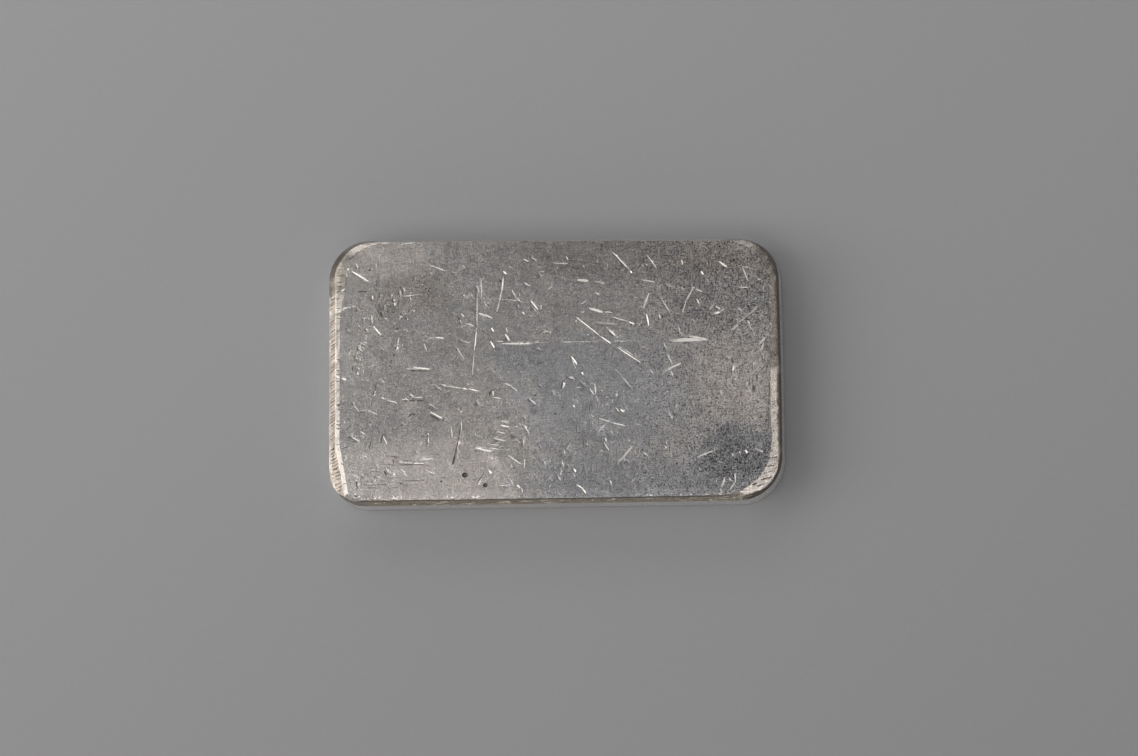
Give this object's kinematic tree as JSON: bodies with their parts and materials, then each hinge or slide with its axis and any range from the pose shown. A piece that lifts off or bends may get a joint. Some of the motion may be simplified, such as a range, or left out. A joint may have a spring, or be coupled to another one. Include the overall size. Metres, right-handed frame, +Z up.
{
  "type": "silver bar",
  "caption": "Small flat silver bar with filed, faceted edges and blunt rounded corners, a piece of metal stock that lies flat or stacks.",
  "frame": {"origin": "middle of the bar's outline, on its flat underside", "axes": "+X along the bar towards its right end, +Y across it to the far side, +Z up through the top face"},
  "size_m": [0.05, 0.0294, 0.0067],
  "materials": {
    "silver": "satin"
  },
  "bodies": {
    "root": {"silver_bar": "silver"}
  },
  "joints": []
}
